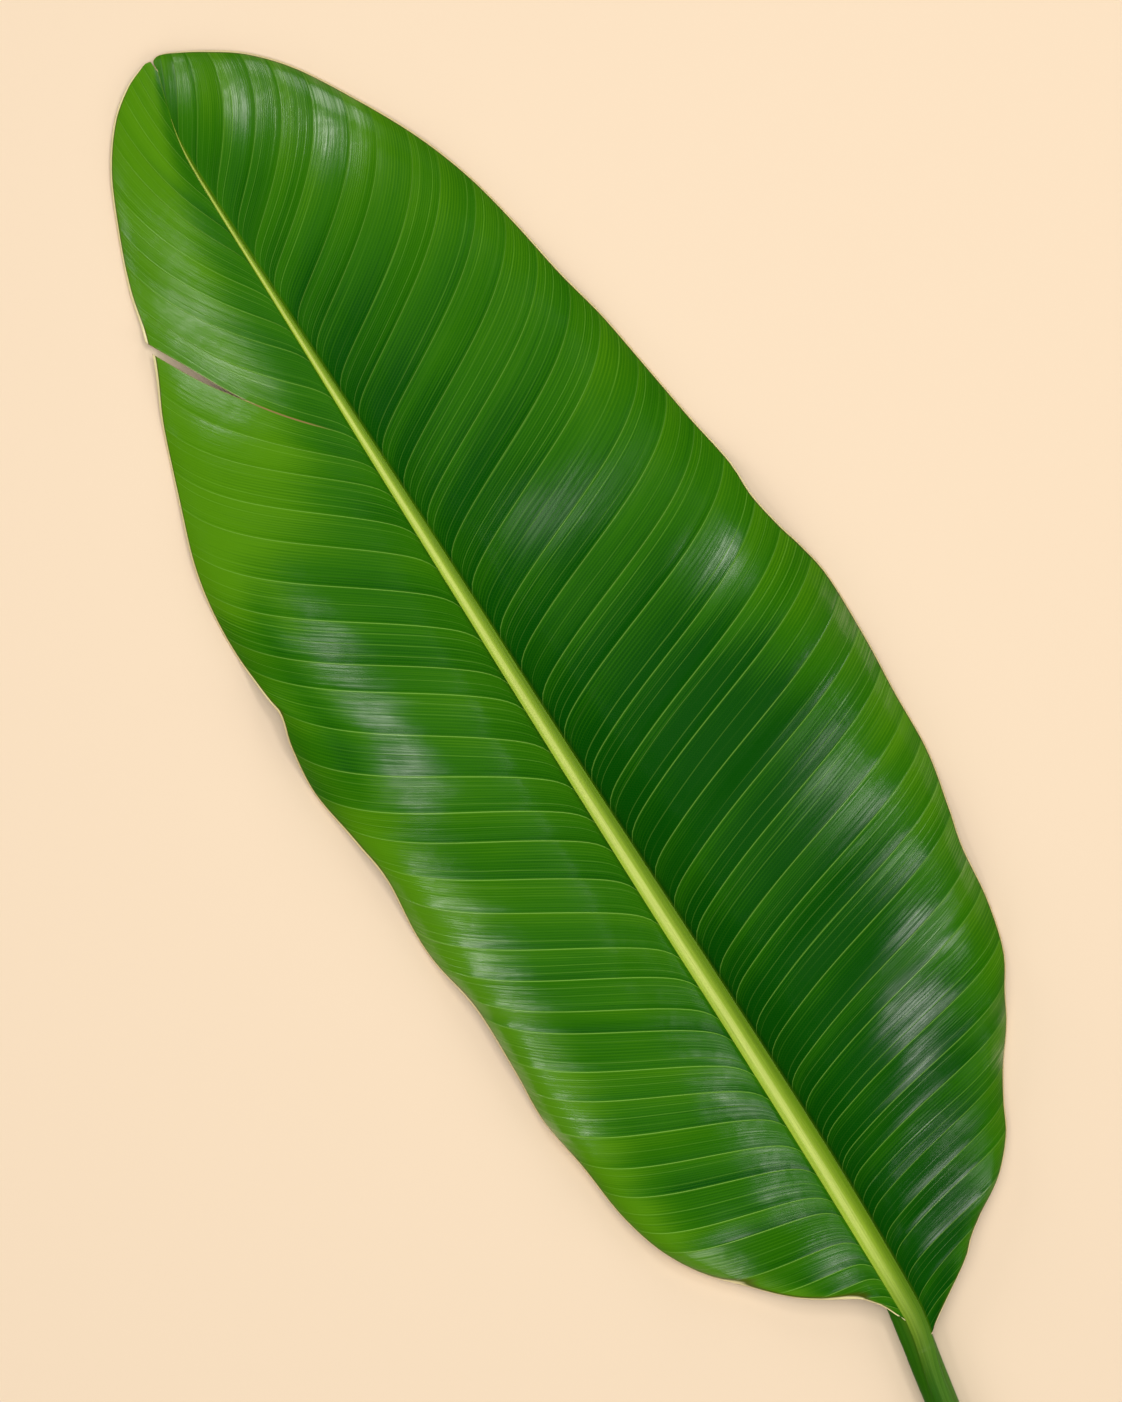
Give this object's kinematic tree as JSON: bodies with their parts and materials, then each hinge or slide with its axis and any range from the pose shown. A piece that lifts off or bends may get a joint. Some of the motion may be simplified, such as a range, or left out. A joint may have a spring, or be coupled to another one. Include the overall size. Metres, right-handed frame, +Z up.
{
  "type": "giant bird of paradise leaf",
  "caption": "Large paddle-shaped green leaf with pleated veins, waved margins, a tear in one half, a yellow-green midrib and a cut stalk, lying face up.",
  "frame": {"origin": "middle of the footprint, on the surface that the leaf lies on", "axes": "+Y from the cut stalk to the tip of the blade, +X over the wider half of the blade, +Z up out of the leaf's upper face"},
  "size_m": [0.3375, 1.1203, 0.0398],
  "materials": {
    "blade_green": "living leaf blade, waxy and half glossy, deep green",
    "midrib_yellow_green": "living leaf stalk and midrib, smooth, satin, yellow-green"
  },
  "bodies": {
    "root": {"blade": "blade_green", "stalk_and_midrib": "midrib_yellow_green"}
  },
  "joints": []
}
